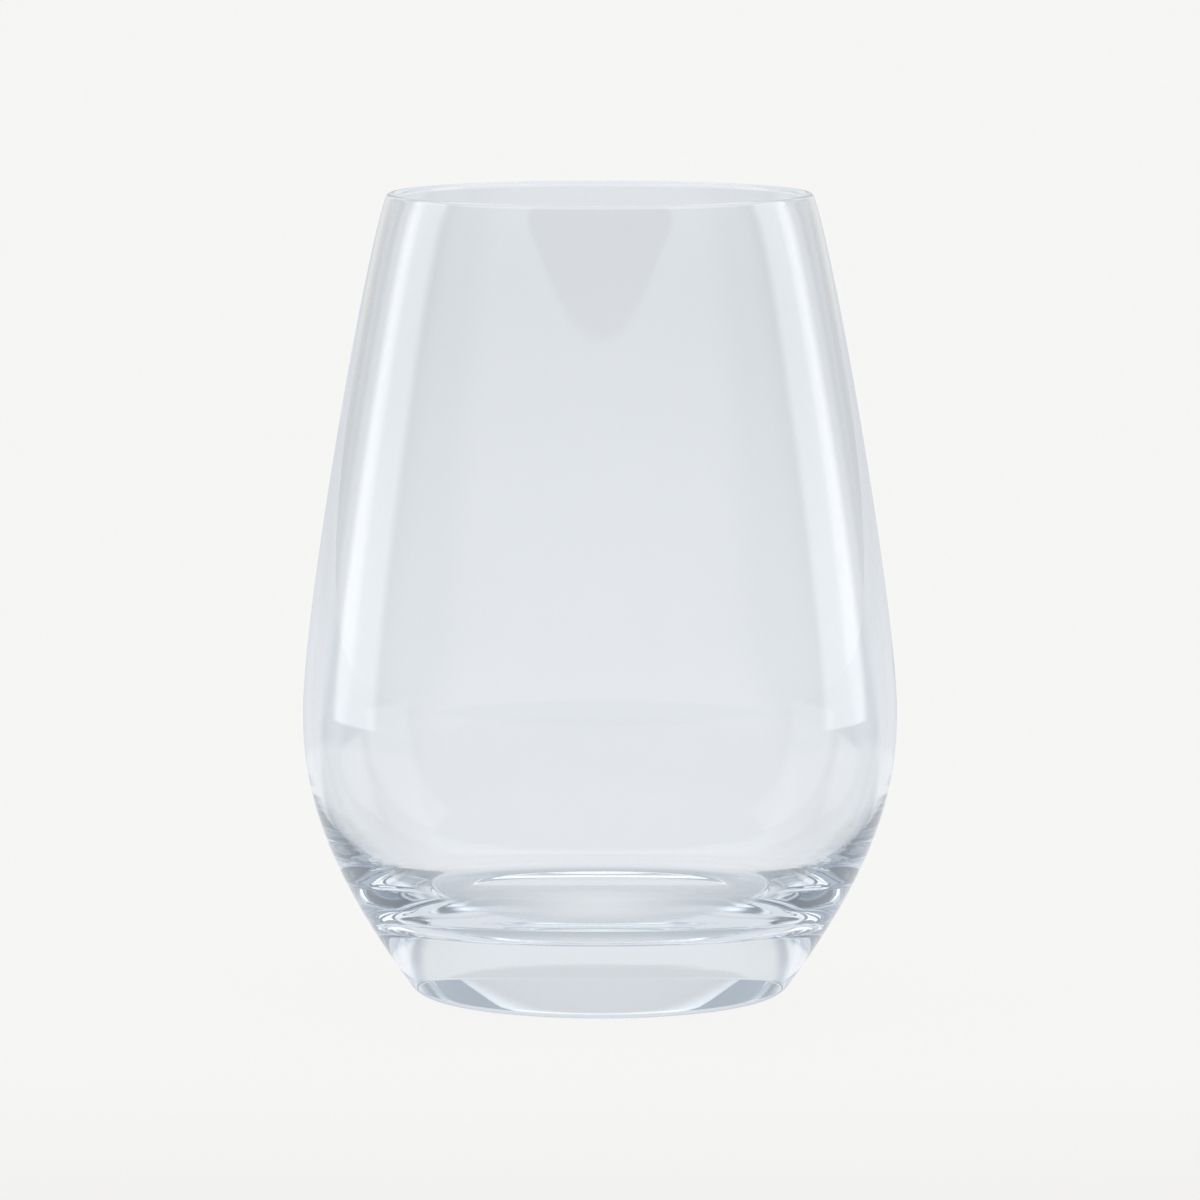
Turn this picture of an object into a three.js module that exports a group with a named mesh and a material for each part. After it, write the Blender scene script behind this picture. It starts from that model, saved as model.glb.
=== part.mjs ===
// A stemless highball tumbler of clear glass, made in one piece: a heavy foot, a low belly, and a wall that
// draws in to a fire-polished lip. Millimetres, +Z up, with the origin on the table under the glass's axis.
import * as THREE from "three";

const { degToRad } = THREE.MathUtils;

// Outside of the glass
const HEIGHT = 110;
const MOUTH_DIAMETER = 57.1; // across the middle of the lip
const LIP_LEAN = degToRad(21); // of the wall at the lip, inwards from the vertical
const BELLY_DIAMETER = 81.5;
const BELLY_HEIGHT = 38.6; // of the widest ring above the table
const FLANK_LEAN = degToRad(36); // of the flank at the foot, outwards from the vertical
const FOOT_DIAMETER = 47; // outer edge of the ring that stands on the table
const FOOT_ROUND = 3.2;

// How far each stretch of the outside keeps the direction of its end before it bends away
const BELLY_RISE = 13.6;
const LIP_DROP = 8;
const BELLY_FALL = 9.3;
const FLANK_RISE = 21.4;

// Thickness of the glass
const LIP_WALL = 1.24;
const BELLY_WALL = 1;
const CORNER_WALL = 2.7; // between the flank and the round at the edge of the floor
const BASE_THICKNESS = 10.65; // at the axis, between the floor of the bowl and the hollow underneath

// Bowl at the bottom of the inside
const CORNER_ROUND = 10.8; // between the flat floor and the wall
const BOWL_LEAN = degToRad(45.4); // of the inside above the corner, outwards from the vertical
const BOWL_RISE = 9;
const BOWL_FALL = 9.8;

// Shallow hollow under the foot, so that the glass stands on a ring and doesn't rock
const BEARING_WIDTH = 4;
const HOLLOW_DEPTH = 1.2;

// Points along each stretch of the outline, and facets around it
const HOLLOW_STEPS = 4;
const FOOT_STEPS = 4;
const FLANK_STEPS = 8;
const WALL_STEPS = 11;
const LIP_STEPS = 3; // on each side of its top
const BOWL_STEPS = 7;
const CORNER_STEPS = 5;
const FACETS = 64;

const QUARTER_TURN = Math.PI / 2;

// A point of the half outline: its distance from the axis and its height.
const at = (radius, height) => new THREE.Vector2(radius, height);

// The point that lies a length away from another, in a direction leaning from the vertical.
const along = (start, lean, length) =>
  at(start.x + Math.sin(lean) * length, start.y + Math.cos(lean) * length);

const straight = (from, to) => new THREE.LineCurve(from, to);

const round = (centre, radius, startAngle, endAngle, clockwise = false) =>
  new THREE.EllipseCurve(centre.x, centre.y, radius, radius, startAngle, endAngle, clockwise);

const bend = (from, fromHandle, toHandle, to) =>
  new THREE.CubicBezierCurve(from, fromHandle, toHandle, to);

// Hollow and bearing ring: a shallow dome whose edge meets the table at the inside of the ring.
function undersideStretches() {
  const footRadius = FOOT_DIAMETER / 2;
  const edgeRadius = footRadius - BEARING_WIDTH;
  const domeRadius = (edgeRadius ** 2 + HOLLOW_DEPTH ** 2) / (2 * HOLLOW_DEPTH);
  const domeCentre = at(0, HOLLOW_DEPTH - domeRadius);
  const edgeAngle = Math.atan2(-domeCentre.y, edgeRadius);
  return [
    { curve: round(domeCentre, domeRadius, QUARTER_TURN, edgeAngle, true), steps: HOLLOW_STEPS },
    { curve: straight(at(edgeRadius, 0), at(footRadius, 0)), steps: 1 },
  ];
}

const footCentre = () => at(FOOT_DIAMETER / 2, FOOT_ROUND);

// The flank from the foot's round to the widest ring.
function flankCurve(belly) {
  const start = along(footCentre(), QUARTER_TURN + FLANK_LEAN, FOOT_ROUND);
  const startHandle = along(start, FLANK_LEAN, FLANK_RISE);
  return bend(start, startHandle, at(belly.x, belly.y - BELLY_FALL), belly);
}

// Outside: the rounded foot, the flank that opens to the belly, and the wall that closes to the lip.
function outsideStretches(belly, lipEdge) {
  return [
    { curve: round(footCentre(), FOOT_ROUND, -QUARTER_TURN, -FLANK_LEAN), steps: FOOT_STEPS },
    { curve: flankCurve(belly), steps: FLANK_STEPS },
    { curve: wallCurve(belly, lipEdge), steps: WALL_STEPS },
  ];
}

// The wall between the belly and one edge of the lip, the same way on both of its faces.
function wallCurve(belly, lipEdge) {
  return bend(
    belly,
    at(belly.x, belly.y + BELLY_RISE),
    along(lipEdge, Math.PI - LIP_LEAN, LIP_DROP),
    lipEdge,
  );
}

// The corner's round lies on the floor and keeps the corner's wall between itself and the flank, so its centre
// is the point at the round's height on a line along the flank.
function cornerCentre(flank) {
  const height = HOLLOW_DEPTH + BASE_THICKNESS + CORNER_ROUND;
  const nearFlank = [];
  for (let step = 0; step <= FLANK_STEPS; step += 1) {
    const { x, y } = flank.getTangent(step / FLANK_STEPS);
    const inwards = at(-y, x).multiplyScalar(CORNER_ROUND + CORNER_WALL);
    nearFlank.push(flank.getPoint(step / FLANK_STEPS).add(inwards));
  }
  const next = nearFlank.findIndex(({ y }) => y > height);
  const [low, high] = nearFlank.slice(next - 1, next + 1);
  return low.clone().lerp(high, (height - low.y) / (high.y - low.y));
}

// Inside: down the wall and the bowl, round the corner and across the floor to the axis.
function insideStretches(belly, lipEdge, flank) {
  const wall = wallCurve(belly, lipEdge);
  const centre = cornerCentre(flank);
  const cornerTop = along(centre, QUARTER_TURN + BOWL_LEAN, CORNER_ROUND);
  const floorEdge = at(centre.x, centre.y - CORNER_ROUND);
  const bowl = bend(
    belly,
    at(belly.x, belly.y - BOWL_FALL),
    along(cornerTop, BOWL_LEAN, BOWL_RISE),
    cornerTop,
  );
  const corner = round(centre, CORNER_ROUND, -BOWL_LEAN, -QUARTER_TURN, true);
  return [
    { curve: bend(wall.v3, wall.v2, wall.v1, wall.v0), steps: WALL_STEPS },
    { curve: bowl, steps: BOWL_STEPS },
    { curve: corner, steps: CORNER_STEPS },
    { curve: straight(floorEdge, at(0, floorEdge.y)), steps: 1 },
  ];
}

// The half outline from the axis under the foot, over the lip, to the axis on the floor.
function tumblerOutline() {
  const lipRadius = LIP_WALL / 2;
  const lipCentre = at(MOUTH_DIAMETER / 2, HEIGHT - lipRadius);
  const lipOutside = at(
    lipCentre.x + Math.cos(LIP_LEAN) * lipRadius,
    lipCentre.y + Math.sin(LIP_LEAN) * lipRadius,
  );
  const lipInside = at(2 * lipCentre.x - lipOutside.x, 2 * lipCentre.y - lipOutside.y);
  const bellyOutside = at(BELLY_DIAMETER / 2, BELLY_HEIGHT);
  const bellyInside = at(bellyOutside.x - BELLY_WALL, BELLY_HEIGHT);
  const stretches = [
    ...undersideStretches(),
    ...outsideStretches(bellyOutside, lipOutside),
    { curve: round(lipCentre, lipRadius, LIP_LEAN, QUARTER_TURN), steps: LIP_STEPS },
    { curve: round(lipCentre, lipRadius, QUARTER_TURN, LIP_LEAN + Math.PI), steps: LIP_STEPS },
    ...insideStretches(bellyInside, lipInside, flankCurve(bellyOutside)),
  ];
  const points = stretches.flatMap(({ curve, steps }) => curve.getPoints(steps).slice(0, -1));
  points.push(stretches.at(-1).curve.getPoint(1));
  return points;
}

const clearGlass = new THREE.MeshStandardMaterial({
  name: "clear_glass",
  color: 0xe4eaee,
  roughness: 0.03,
  metalness: 0,
  transparent: true,
  opacity: 0.35,
});

// The outline turns about its own upright axis, which then stands along +Z.
const body = new THREE.LatheGeometry(tumblerOutline(), FACETS);
body.rotateX(QUARTER_TURN);

const tumbler = new THREE.Mesh(body, clearGlass);
tumbler.name = "tumbler";

const highballGlass = new THREE.Group();
highballGlass.add(tumbler);

export default highballGlass;
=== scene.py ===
import math

import bpy
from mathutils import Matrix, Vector


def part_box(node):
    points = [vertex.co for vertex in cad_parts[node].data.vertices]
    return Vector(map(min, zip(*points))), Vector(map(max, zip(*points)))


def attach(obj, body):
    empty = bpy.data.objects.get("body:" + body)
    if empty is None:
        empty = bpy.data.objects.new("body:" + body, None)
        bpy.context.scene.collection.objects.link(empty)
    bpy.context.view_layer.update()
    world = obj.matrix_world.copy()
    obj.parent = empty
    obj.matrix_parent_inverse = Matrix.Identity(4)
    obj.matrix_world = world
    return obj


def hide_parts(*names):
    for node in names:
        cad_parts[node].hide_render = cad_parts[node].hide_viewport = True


# A clear glass tumbler on a white table, in metres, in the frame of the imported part.
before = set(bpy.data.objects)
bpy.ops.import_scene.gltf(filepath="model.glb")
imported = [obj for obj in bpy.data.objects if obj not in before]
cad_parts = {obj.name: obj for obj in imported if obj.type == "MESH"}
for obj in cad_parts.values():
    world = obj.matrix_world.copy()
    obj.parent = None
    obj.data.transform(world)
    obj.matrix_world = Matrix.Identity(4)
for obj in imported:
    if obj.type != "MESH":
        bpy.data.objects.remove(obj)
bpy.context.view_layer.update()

MM = 0.001
QUARTER_TURN = math.pi / 2
HALF_TURN = math.pi
FULL_TURN = 2 * math.pi


def sine(degrees):
    return math.sin(math.radians(degrees))


def cosine(degrees):
    return math.cos(math.radians(degrees))


# Outside of the glass. The overall sizes come from the part's own box.
glass_low, glass_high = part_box("tumbler")
HEIGHT = glass_high.z
BELLY_RADIUS = (glass_high.x - glass_low.x) / 2
BELLY_HEIGHT = 38.6 * MM
LIP_RADIUS = 28.55 * MM
LIP_LEAN = math.radians(21)
FLANK_LEAN = math.radians(36)
FOOT_RADIUS = 23.5 * MM
FOOT_ROUND = 3.2 * MM

# How far each stretch of the outline keeps the direction of its end before it bends away
BELLY_RISE = 13.6 * MM
LIP_DROP = 8 * MM
BELLY_FALL = 9.3 * MM
FLANK_RISE = 21.4 * MM
BOWL_FALL = 9.8 * MM
BOWL_RISE = 9 * MM

# Thickness of the glass, the bowl's flat floor with the round at its edge, and the hollow under the foot
LIP_WALL = 1.24 * MM
BELLY_WALL = 1 * MM
BASE_THICKNESS = 10.65 * MM
FLOOR_RADIUS = 23.41 * MM
BOWL_ROUND = 10.8 * MM
BOWL_LEAN = math.radians(45.4)
BEARING_WIDTH = 4 * MM
HOLLOW_DEPTH = 1.2 * MM

# Fineness of the turned surface
HOLLOW_STEPS = 30
RING_STEPS = 5
FOOT_STEPS = 24
FLANK_STEPS = 64
WALL_STEPS = 84
LIP_STEPS = 14
BOWL_STEPS = 48
CORNER_STEPS = 24
FLOOR_STEPS = 52
SEGMENTS = 192
WELD_DISTANCE = 0.001 * MM

# Sockets of a Mix node that mixes colours, and of a Mix Shader node: their names aren't unique.
MIX_SHARE = 0
MIX_FIRST = 6
MIX_SECOND = 7
MIX_RESULT = 2
FIRST_SHADER = 1
SECOND_SHADER = 2


class Wire:
    """An output in a node tree. Sums on it are written as Python expressions and add their Math nodes."""

    def __init__(self, graph, socket):
        self.graph = graph
        self.socket = socket

    def math(self, operation, *values):
        numbers = dict(enumerate(values))
        return self.graph.add("ShaderNodeMath", {"operation": operation}, numbers)["Value"]

    def __add__(self, other):
        return self.math("ADD", self, other)

    def __radd__(self, other):
        return self.math("ADD", other, self)

    def __sub__(self, other):
        return self.math("SUBTRACT", self, other)

    def __rsub__(self, other):
        return self.math("SUBTRACT", other, self)

    def __mul__(self, other):
        return self.math("MULTIPLY", self, other)

    def __rmul__(self, other):
        return self.math("MULTIPLY", other, self)

    def __truediv__(self, other):
        return self.math("DIVIDE", self, other)

    def __rtruediv__(self, other):
        return self.math("DIVIDE", other, self)

    def floor(self):
        return self.math("FLOOR", self)

    def cosine(self):
        return self.math("COSINE", self)

    def sine(self):
        return self.math("SINE", self)

    def root(self):
        return self.math("SQRT", self)

    def larger(self, other):
        return self.math("MAXIMUM", self, other)

    def smaller(self, other):
        return self.math("MINIMUM", self, other)

    def held(self):
        """Keeps this value between 0 and 1."""
        return self.larger(0).smaller(1)

    def towards(self, goal, share):
        """Moves a share of the way to another value."""
        return self + (goal - self) * share

    def fade(self, start, end, low=0.0, high=1.0):
        """Runs smoothly from low to high while this value runs from start to end."""
        sockets = {"Value": self, "From Min": start, "From Max": end, "To Min": low, "To Max": high}
        return self.graph.add("ShaderNodeMapRange", {"interpolation_type": "SMOOTHSTEP"}, sockets)["Result"]


class Made:
    """A node that a graph has added. Its outputs are read by name or by number."""

    def __init__(self, graph, node):
        self.graph = graph
        self.node = node

    def __getitem__(self, name):
        return Wire(self.graph, self.node.outputs[name])


class Graph:
    """A node tree under construction."""

    def __init__(self, tree):
        self.tree = tree

    def add(self, kind, settings=None, sockets=None):
        """One node: its settings are set first, then each socket gets its value or its link."""
        node = self.tree.nodes.new(kind)
        for name, value in (settings or {}).items():
            setattr(node, name, value)
        for key, value in (sockets or {}).items():
            if isinstance(value, Wire):
                self.tree.links.new(value.socket, node.inputs[key])
            else:
                node.inputs[key].default_value = value
        return Made(self, node)

    def split(self, vector):
        """The X, Y and Z of a vector."""
        return self.add("ShaderNodeSeparateXYZ", sockets={"Vector": vector})

    def mixed(self, share, first, second):
        """A colour between two others."""
        sockets = {MIX_SHARE: share, MIX_FIRST: first, MIX_SECOND: second}
        return self.add("ShaderNodeMix", {"data_type": "RGBA"}, sockets)[MIX_RESULT]

    def blended(self, share, first, second):
        """A finish between two others."""
        sockets = {"Fac": share, FIRST_SHADER: first, SECOND_SHADER: second}
        return self.add("ShaderNodeMixShader", sockets=sockets)["Shader"]

    def noise(self, place, scale):
        """A soft random value between 0 and 1, which changes from place to place."""
        return self.add("ShaderNodeTexNoise", sockets={"Vector": place, "Scale": scale})["Fac"]


# Outline of the glass: points of (distance from the axis, height)


def straight(start, end, steps):
    shares = [step / steps for step in range(steps + 1)]
    return [tuple(a + (b - a) * t for a, b in zip(start, end)) for t in shares]


def arc(centre, radius, start_angle, end_angle, steps):
    angles = [start_angle + (end_angle - start_angle) * step / steps for step in range(steps + 1)]
    return [(centre[0] + radius * math.cos(a), centre[1] + radius * math.sin(a)) for a in angles]


def bend(start, start_handle, end_handle, end, steps):
    """A cubic curve, which leaves each end towards its handle."""
    points = []
    for step in range(steps + 1):
        t = step / steps
        s = 1 - t
        weights = (s**3, 3 * s * s * t, 3 * s * t * t, t**3)
        corners = zip(start, start_handle, end_handle, end)
        points.append(tuple(sum(w * c for w, c in zip(weights, axis)) for axis in corners))
    return points


def along(start, lean, length):
    """The point a length away, in a direction that leans from the vertical."""
    return (start[0] + math.sin(lean) * length, start[1] + math.cos(lean) * length)


def underside():
    """The shallow dome under the foot and the flat ring around it."""
    edge = FOOT_RADIUS - BEARING_WIDTH
    dome_radius = (edge**2 + HOLLOW_DEPTH**2) / (2 * HOLLOW_DEPTH)
    dome_centre = (0, HOLLOW_DEPTH - dome_radius)
    edge_angle = math.atan2(-dome_centre[1], edge)
    dome = arc(dome_centre, dome_radius, QUARTER_TURN, edge_angle, HOLLOW_STEPS)
    ring = straight((edge, 0), (FOOT_RADIUS, 0), RING_STEPS)
    return [dome, ring]


def wall(belly, lip_edge):
    belly_handle = (belly[0], belly[1] + BELLY_RISE)
    lip_handle = along(lip_edge, HALF_TURN - LIP_LEAN, LIP_DROP)
    return bend(belly, belly_handle, lip_handle, lip_edge, WALL_STEPS)


def outside(belly, lip_edge):
    centre = (FOOT_RADIUS, FOOT_ROUND)
    foot = arc(centre, FOOT_ROUND, -QUARTER_TURN, -FLANK_LEAN, FOOT_STEPS)
    flank_handle = along(foot[-1], FLANK_LEAN, FLANK_RISE)
    belly_handle = (belly[0], belly[1] - BELLY_FALL)
    flank = bend(foot[-1], flank_handle, belly_handle, belly, FLANK_STEPS)
    return [foot, flank, wall(belly, lip_edge)]


def inside(belly, lip_edge):
    floor_height = HOLLOW_DEPTH + BASE_THICKNESS
    centre = (FLOOR_RADIUS, floor_height + BOWL_ROUND)
    corner = arc(centre, BOWL_ROUND, -BOWL_LEAN, -QUARTER_TURN, CORNER_STEPS)
    belly_handle = (belly[0], belly[1] - BOWL_FALL)
    corner_handle = along(corner[0], BOWL_LEAN, BOWL_RISE)
    bowl = bend(belly, belly_handle, corner_handle, corner[0], BOWL_STEPS)
    floor = straight((FLOOR_RADIUS, floor_height), (0, floor_height), FLOOR_STEPS)
    return [wall(belly, lip_edge)[::-1], bowl, corner, floor]


def tumbler_outline():
    """From the axis under the foot, over the lip, to the axis on the bowl's floor."""
    lip_half = LIP_WALL / 2
    centre = (LIP_RADIUS, HEIGHT - lip_half)
    lip_out = arc(centre, lip_half, LIP_LEAN, QUARTER_TURN, LIP_STEPS)
    lip_in = arc(centre, lip_half, QUARTER_TURN, LIP_LEAN + HALF_TURN, LIP_STEPS)
    belly = (BELLY_RADIUS, BELLY_HEIGHT)
    inner_belly = (BELLY_RADIUS - BELLY_WALL, BELLY_HEIGHT)
    stretches = underside() + outside(belly, lip_out[0]) + [lip_out, lip_in]
    stretches += inside(inner_belly, lip_in[-1])
    points = [stretches[0][0]]
    for stretch in stretches:
        points += stretch[1:]
    return points


def turning_tree():
    """A tree that turns an outline, given as a row of points, about the upright axis."""
    tree = bpy.data.node_groups.new("turned_glass", "GeometryNodeTree")
    face = tree.interface
    face.new_socket("Outline", in_out="INPUT", socket_type="NodeSocketGeometry")
    face.new_socket("Outline Points", in_out="INPUT", socket_type="NodeSocketInt")
    face.new_socket("Segments", in_out="INPUT", socket_type="NodeSocketInt")
    face.new_socket("Weld Distance", in_out="INPUT", socket_type="NodeSocketFloat")
    face.new_socket("Finish", in_out="INPUT", socket_type="NodeSocketMaterial")
    face.new_socket("Glass", in_out="OUTPUT", socket_type="NodeSocketGeometry")
    graph = Graph(tree)
    given = graph.add("NodeGroupInput")
    columns = given["Segments"] + 1
    grid = graph.add(
        "GeometryNodeMeshGrid",
        sockets={"Vertices X": given["Outline Points"], "Vertices Y": columns},
    )
    index = graph.add("GeometryNodeInputIndex")["Index"]
    row = (index / columns).floor()
    column = index - row * columns
    place = graph.add("GeometryNodeInputPosition")["Position"]
    outline_point = graph.add(
        "GeometryNodeSampleIndex",
        {"data_type": "FLOAT_VECTOR", "domain": "POINT"},
        {"Geometry": given["Outline"], "Value": place, "Index": row},
    )["Value"]
    parts = graph.split(outline_point)
    turn = column / given["Segments"] * -FULL_TURN
    turned = graph.add(
        "ShaderNodeCombineXYZ",
        sockets={"X": parts["X"] * turn.cosine(), "Y": parts["X"] * turn.sine(), "Z": parts["Z"]},
    )["Vector"]
    shaped = graph.add(
        "GeometryNodeSetPosition", sockets={"Geometry": grid["Mesh"], "Position": turned}
    )["Geometry"]
    welded = graph.add(
        "GeometryNodeMergeByDistance",
        sockets={"Geometry": shaped, "Distance": given["Weld Distance"]},
    )["Geometry"]
    smooth = graph.add("GeometryNodeSetShadeSmooth", sockets={"Geometry": welded})["Geometry"]
    real = graph.add("GeometryNodeRealizeInstances", sockets={"Geometry": smooth})["Geometry"]
    finished = graph.add(
        "GeometryNodeSetMaterial", sockets={"Geometry": real, "Material": given["Finish"]}
    )["Geometry"]
    graph.add("NodeGroupOutput", sockets={"Glass": finished})
    return tree


def show(name, data):
    thing = bpy.data.objects.new(name, data)
    bpy.context.scene.collection.objects.link(thing)
    return thing


def plain_mesh(thing):
    """Turns what an object's modifiers make into its own mesh."""
    depsgraph = bpy.context.evaluated_depsgraph_get()
    made = bpy.data.meshes.new_from_object(thing.evaluated_get(depsgraph))
    thing.modifiers.clear()
    thing.data = made
    return thing


def turned_glass(name, outline, finish):
    row = bpy.data.meshes.new(name)
    row.from_pydata([(radius, 0, height) for radius, height in outline], [], [])
    thing = show(name, row)
    tree = turning_tree()
    values = {
        "Outline Points": len(outline),
        "Segments": SEGMENTS,
        "Weld Distance": WELD_DISTANCE,
        "Finish": finish,
    }
    modifier = thing.modifiers.new("turning", "NODES")
    modifier.node_group = tree
    for socket in tree.interface.items_tree:
        if socket.in_out == "INPUT" and socket.name in values:
            modifier[socket.identifier] = values[socket.name]
    return plain_mesh(thing)


def new_material(name):
    material = bpy.data.materials.new(name)
    material.use_nodes = True
    material.node_tree.nodes.clear()
    return material, Graph(material.node_tree)


# Clear glass. The scales of its cloud and its ripple are per metre.
GLASS_INDEX = 1.46
GLASS_CLEAR = (0.97, 0.974, 0.978, 1)
GLASS_CLOUDED = (0.958, 0.965, 0.973, 1)
GLASS_ROUGHNESS = 0.0
CLOUD_SCALE = 45.0
RIPPLE_SCALE = 60.0
RIPPLE_HEIGHT = 0.02 * MM
GLASS_DEPTH_TINT = (0.64, 0.73, 0.82, 1)
GLASS_DEPTH = 6.0
LEAK_AFTER = 20


def clear_glass():
    """Faintly uneven, as pressed glass is: its tint is a little clouded and its surface ripples. Light that
    has bounced inside it very many times leaks out, so that the thickest glass doesn't turn black."""
    material, graph = new_material("clear_glass")
    bounces = graph.add("ShaderNodeLightPath")["Ray Depth"]
    place = graph.add("ShaderNodeTexCoord")["Object"]
    cloud = graph.noise(place, CLOUD_SCALE)
    ripple = graph.noise(place, RIPPLE_SCALE)
    bump = graph.add("ShaderNodeBump", sockets={"Height": ripple, "Distance": RIPPLE_HEIGHT})
    shader = graph.add(
        "ShaderNodeBsdfPrincipled",
        sockets={
            "Base Color": graph.mixed(cloud, GLASS_CLEAR, GLASS_CLOUDED),
            "Roughness": GLASS_ROUGHNESS,
            "IOR": GLASS_INDEX,
            "Normal": bump["Normal"],
            "Transmission Weight": 1.0,
        },
    )
    leak = graph.add("ShaderNodeBsdfTransparent")
    surface = graph.blended((bounces - LEAK_AFTER).held(), shader["BSDF"], leak["BSDF"])
    body = graph.add(
        "ShaderNodeVolumeAbsorption",
        sockets={"Color": GLASS_DEPTH_TINT, "Density": GLASS_DEPTH},
    )
    graph.add("ShaderNodeOutputMaterial", sockets={"Surface": surface, "Volume": body["Volume"]})
    return material


# Table. Each pair here and in the lights below says where something begins to show and where it shows fully.
TABLE_HALF = 8.0
TABLE_GAP = 0.1 * MM
TABLE_GREY = (0.48, 0.52, 0.57, 1)
TABLE_GLOW = 0.94

# What the camera sees: white, faintly mottled, with a little shade in front of the glass
TABLE_WHITE = (0.957, 0.956, 0.934, 1)
TABLE_SHADE = (0.918, 0.908, 0.892, 1)
MOTTLE_SCALE = 25.0
MOTTLE_SHARE = 0.1
SHADE_REACH = (-50 * MM, -190 * MM)
SHADE_AWAY = (-900 * MM, -400 * MM)

# What the glass shows: a cooler white that dims to the back, and the shadow of the ring it stands on
COOL_NEAR = (0.895, 0.914, 0.937, 1)
COOL_FAR = (0.795, 0.815, 0.839, 1)
COOL_REACH = (0.1, 1.6)
CONTACT_SHADE = (0.48, 0.53, 0.58, 1)
CONTACT_INSIDE = (-2 * MM, 25 * MM)
CONTACT_OUTSIDE = (32 * MM, 24 * MM)
CONTACT_SHIFT = 5 * MM

# Where reflections show the table bright: behind the glass, under its foot, around it for reflections off its
# outside, and in front of it for light that has bounced only a few times
BRIGHT_BACK = (cosine(52), cosine(45))
MIRRORED_BACK = 0.68
UNDER_FOOT = (52 * MM, 42 * MM)
AROUND_GLASS = (300 * MM, 200 * MM)
BRIGHT_FRONT = (cosine(95), cosine(120))
FEW_BOUNCES = 3


def distance(across, back):
    return (across * across + back * back).root()


def cosine_from_back(across, back):
    """Cosine of the angle between a direction on the table and the way straight behind the glass."""
    return back / distance(across, back)


def table_brightness(path, across, back):
    """How much the table glows. To the camera and straight through the glass it is bright all over."""
    seen = path["Is Camera Ray"].larger(path["Is Glossy Ray"]).larger(path["Is Transmission Ray"])
    straight_through = 1 - path["Glossy Depth"].smaller(1)
    off_outside = 1 - path["Transmission Depth"].smaller(1)
    away = distance(across, back)
    turn = cosine_from_back(across, back)
    behind = turn.fade(*BRIGHT_BACK) * (1 - off_outside * (1 - MIRRORED_BACK))
    under = away.fade(*UNDER_FOOT)
    around = off_outside * away.fade(*AROUND_GLASS)
    front = turn.fade(*BRIGHT_FRONT) * (FEW_BOUNCES - path["Glossy Depth"]).held()
    bright = straight_through.larger(behind).larger(under).larger(around).larger(front)
    return seen * bright * TABLE_GLOW


def table_colour(graph, path, place, across, back):
    mottle = graph.noise(place, MOTTLE_SCALE) * MOTTLE_SHARE
    shade = back.fade(*SHADE_REACH) * back.fade(*SHADE_AWAY)
    white = graph.mixed(shade + mottle, TABLE_WHITE, TABLE_SHADE)
    cool = graph.mixed(back.fade(*COOL_REACH), COOL_NEAR, COOL_FAR)
    beneath = distance(across, back + CONTACT_SHIFT)
    contact = beneath.fade(*CONTACT_INSIDE) * beneath.fade(*CONTACT_OUTSIDE)
    return graph.mixed(path["Is Camera Ray"], graph.mixed(contact, cool, CONTACT_SHADE), white)


def table_finish():
    """Glows white where it shows bright, and is matt grey elsewhere."""
    material, graph = new_material("white_table")
    path = graph.add("ShaderNodeLightPath")
    place = graph.add("ShaderNodeTexCoord")["Object"]
    parts = graph.split(place)
    colour = table_colour(graph, path, place, parts["X"], parts["Y"])
    glow = graph.add("ShaderNodeEmission", sockets={"Color": colour, "Strength": 1.0})
    matt = graph.add("ShaderNodeBsdfDiffuse", sockets={"Color": TABLE_GREY})
    share = table_brightness(path, parts["X"], parts["Y"])
    surface = graph.blended(share, matt["BSDF"], glow["Emission"])
    graph.add("ShaderNodeOutputMaterial", sockets={"Surface": surface})
    return material


def table():
    sides = ((-1, -1), (1, -1), (1, 1), (-1, 1))
    corners = [(x * TABLE_HALF, y * TABLE_HALF, -TABLE_GAP) for x, y in sides]
    mesh = bpy.data.meshes.new("table")
    mesh.from_pydata(corners, [], [range(len(corners))])
    mesh.materials.append(table_finish())
    return show("table", mesh)


# Upright strip lights, one on each side
STRIP_ACROSS = 246 * MM
STRIP_BACK = 61 * MM
STRIP_AIM = -17 * MM
STRIP_WIDTH = 136 * MM
STRIP_BOTTOM = 17 * MM
STRIP_HEIGHT = 243 * MM
STRIP_BRIGHTNESS = 1.25
STRIP_FOOT_SHARE = 0.88
STRIP_TOP_SHARE = 1.3
STRIP_TINT = (0.96, 0.98, 1.0)
SOFT_EDGE = 0.14

# The near wall, two surfaces deep, mirrors the strips fully, and the far wall shows them fainter.
NEAR_WALL = 2
FAR_WALL_SHARE = 0.55


def strip_face(tree):
    """Soft at its upright edges and brighter towards its top. It doesn't show straight through the glass."""
    tree.nodes.clear()
    graph = Graph(tree)
    path = graph.add("ShaderNodeLightPath")
    crossed = path["Transmission Depth"]
    far = (crossed - NEAR_WALL).held()
    straight_through = crossed.smaller(1) * (1 - path["Glossy Depth"].smaller(1))
    parts = graph.split(graph.add("ShaderNodeNewGeometry")["Parametric"])
    across = parts["X"]
    edges = across.fade(0, SOFT_EDGE) * across.fade(1, 1 - SOFT_EDGE)
    shown = (1 - far * (1 - FAR_WALL_SHARE)) * (1 - straight_through)
    level = edges * parts["Y"].fade(0, 1, STRIP_FOOT_SHARE, STRIP_TOP_SHARE) * shown
    face = graph.add("ShaderNodeEmission", sockets={"Strength": level})
    graph.add("ShaderNodeOutputLight", sockets={"Surface": face["Emission"]})


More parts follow.
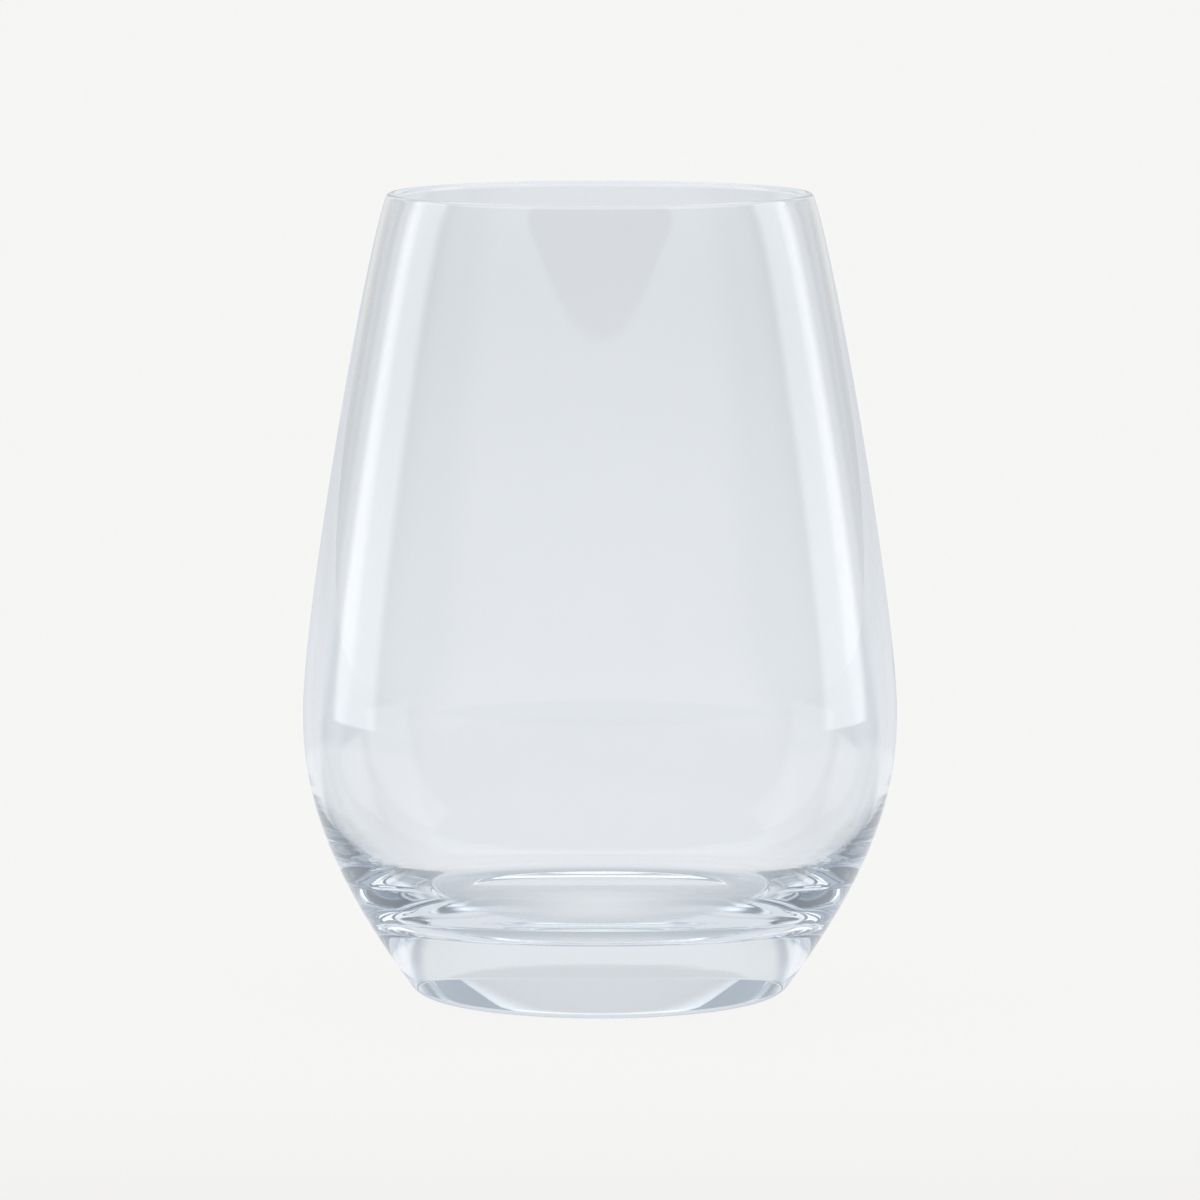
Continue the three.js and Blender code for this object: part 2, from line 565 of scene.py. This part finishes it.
def strip_light(name, side):
    """A flat light turned to the glass. Its face shines with a given brightness, where 1 is white."""
    light = bpy.data.lights.new(name, "AREA")
    light.shape = "RECTANGLE"
    light.size = STRIP_WIDTH
    light.size_y = STRIP_HEIGHT
    light.color = STRIP_TINT
    light.energy = STRIP_BRIGHTNESS * math.pi * STRIP_WIDTH * STRIP_HEIGHT
    light.use_nodes = True
    strip_face(light.node_tree)
    middle = STRIP_BOTTOM + STRIP_HEIGHT / 2
    place = Vector((side * STRIP_ACROSS, STRIP_BACK, middle))
    aim = Vector((0, STRIP_AIM, middle))
    thing = show(name, light)
    thing.location = place
    thing.rotation_euler = (aim - place).to_track_quat("-Z", "Y").to_euler()
    thing.visible_camera = False


# Surroundings. Heights are sines of the angle above the horizon, and sides are cosines of the angle from
# straight behind the glass.
WHITE = (0.922, 0.922, 0.905, 1)
BACK_TINT = (0.98, 0.99, 1.0, 1)
ROOM_TINT = (0.84, 0.92, 1.0, 1)

# Behind the glass: a dim band whose upper edge falls to the sides, then the backdrop and its dimmer top
HORIZON_LIGHT = 0.8
BACK_LIGHT = 0.93
UPPER_LIGHT = 0.83
HORIZON = sine(8.45)
HORIZON_FALL = 0.22
HORIZON_DROOP = 2.1
HORIZON_SOFT = 0.006
UPPER_START = (sine(12), sine(20))
MIRRORED_SKY = (cosine(35), cosine(19))
CLEAR_SKY = (cosine(46), cosine(36))

# A light high above the backdrop
OVERHEAD_LIGHT = 1.7
OVERHEAD_START = (sine(36), sine(49))
OVERHEAD_END = (sine(70), sine(60))
OVERHEAD_SIDE = (cosine(70), cosine(62))

# What the outside of the glass mirrors: a dim room, a dimmer gap beside the backdrop, and lights high in
# front with a dim tongue between them
ROOM_LIGHT = 0.5
GAP_LIGHT = 0.2
GAP_TOP = (sine(18), sine(10))
GAP_SIDE = (cosine(58), cosine(40))
FRONT_FOOT = 0.86
FRONT_LIGHT = 2.0
FRONT_RISE = (0.0, sine(42))
FRONT_TOP = (sine(52), sine(45))
FRONT_SIDE = (cosine(85), cosine(100))
TONGUE_LIGHT = 0.15
TONGUE_WIDTH = 1 - cosine(41)
TONGUE_TOP = sine(28)
TONGUE_DEPTH = TONGUE_TOP - sine(17.5)
TONGUE_SOFT = (1.08, 0.92)

# What shows through the glass: a dim room, and bright panels beside the backdrop
ROOM_FOOT = 0.55
ROOM_LOW = 0.27
ROOM_HIGH = 0.6
ROOM_DROP = (sine(3), sine(8))
ROOM_RISE = (sine(30), sine(45))
SIDE_LIGHT = 1.12
SIDE_START = (cosine(39), cosine(48))
SIDE_END = (cosine(67), cosine(63))
SIDE_FOOT = (sine(-2), sine(1))
SIDE_TOP = (sine(24), sine(12))

# To the sides and the front, what shows straight through the glass is as bright as the upper backdrop.
CLEAR_ROUND = (cosine(70), cosine(80))


def mirrored_room(height, turn):
    """The dim tongue between the front lights ends below in half an ellipse."""
    front = height.fade(*FRONT_RISE, FRONT_FOOT, FRONT_LIGHT)
    drop = ((TONGUE_TOP - height) / TONGUE_DEPTH).larger(0)
    spread = (1 + turn) / TONGUE_WIDTH + drop * drop
    front = front.towards(TONGUE_LIGHT, spread.fade(*TONGUE_SOFT))
    lit = turn.fade(*FRONT_SIDE) * height.fade(*FRONT_TOP)
    gap = turn.fade(*GAP_SIDE) * height.fade(*GAP_TOP)
    return front.towards(ROOM_LIGHT, 1 - lit).towards(GAP_LIGHT, gap)


def inner_room(height):
    low_part = height.fade(*ROOM_DROP, ROOM_FOOT, ROOM_LOW)
    return low_part.towards(ROOM_HIGH, height.fade(*ROOM_RISE))


def backdrop(height, turn):
    bow = 1 - turn
    above = height + bow * (HORIZON_FALL + bow * HORIZON_DROOP) - HORIZON
    level = above.fade(-HORIZON_SOFT, HORIZON_SOFT, HORIZON_LIGHT, BACK_LIGHT)
    return level.towards(UPPER_LIGHT, height.fade(*UPPER_START))


def overhead_share(height, turn):
    return height.fade(*OVERHEAD_START) * height.fade(*OVERHEAD_END) * turn.fade(*OVERHEAD_SIDE)


def panel_share(height, turn):
    beside = turn.fade(*SIDE_START) * turn.fade(*SIDE_END)
    return beside * height.fade(*SIDE_FOOT) * height.fade(*SIDE_TOP)


def studio_world():
    """White to the camera. The glass mirrors and shows a backdrop and a dim room."""
    world = bpy.data.worlds.new("studio")
    bpy.context.scene.world = world
    world.use_nodes = True
    world.node_tree.nodes.clear()
    graph = Graph(world.node_tree)
    parts = graph.split(graph.add("ShaderNodeTexCoord")["Generated"])
    height = parts["Z"]
    turn = cosine_from_back(parts["X"], parts["Y"])
    path = graph.add("ShaderNodeLightPath")
    to_camera = path["Is Camera Ray"]
    through = path["Transmission Depth"].smaller(1)
    straight_through = through * (1 - path["Glossy Depth"].smaller(1))
    room = mirrored_room(height, turn).towards(inner_room(height), through)
    behind = turn.fade(*MIRRORED_SKY).towards(turn.fade(*CLEAR_SKY), through)
    panel = panel_share(height, turn) * through
    clear = straight_through * turn.fade(*CLEAR_ROUND)
    level = room.towards(backdrop(height, turn), behind)
    level = level.towards(OVERHEAD_LIGHT, overhead_share(height, turn))
    strength = level.towards(SIDE_LIGHT, panel).towards(UPPER_LIGHT, clear).towards(1, to_camera)
    tint = graph.mixed(behind.larger(panel).larger(clear), ROOM_TINT, BACK_TINT)
    colour = graph.mixed(to_camera, tint, WHITE)
    light = graph.add("ShaderNodeBackground", sockets={"Color": colour, "Strength": strength})
    graph.add("ShaderNodeOutputWorld", sockets={"Surface": light["Background"]})


# Camera in front of the glass, a little above it, which looks down by an angle in radians
CAMERA_DISTANCE = 1.090
CAMERA_HEIGHT = 0.17464
CAMERA_PITCH = 0.1101
FOCAL_PIXELS = 8001.7
PICTURE_PIXELS = 1200
SENSOR_WIDTH = 36.0
NEAREST = 0.01
FARTHEST = 100.0


def camera():
    data = bpy.data.cameras.new("camera")
    data.sensor_width = SENSOR_WIDTH
    data.lens = FOCAL_PIXELS / PICTURE_PIXELS * SENSOR_WIDTH
    data.clip_start = NEAREST
    data.clip_end = FARTHEST
    thing = show("camera", data)
    thing.location = (0, -CAMERA_DISTANCE, CAMERA_HEIGHT)
    thing.rotation_euler = (QUARTER_TURN - CAMERA_PITCH, 0, 0)
    bpy.context.scene.camera = thing


# Light crosses and bounces inside the thick base many times before it leaves.
GLASS_BOUNCES = 128


def render_look():
    scene = bpy.context.scene
    scene.view_settings.view_transform = "Standard"
    scene.cycles.max_bounces = GLASS_BOUNCES
    scene.cycles.glossy_bounces = GLASS_BOUNCES
    scene.cycles.transmission_bounces = GLASS_BOUNCES


render_look()
camera()
studio_world()
strip_light("strip_left", -1)
strip_light("strip_right", 1)
table()

glass = turned_glass("glass", tumbler_outline(), clear_glass())
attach(glass, "root")
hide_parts("tumbler")
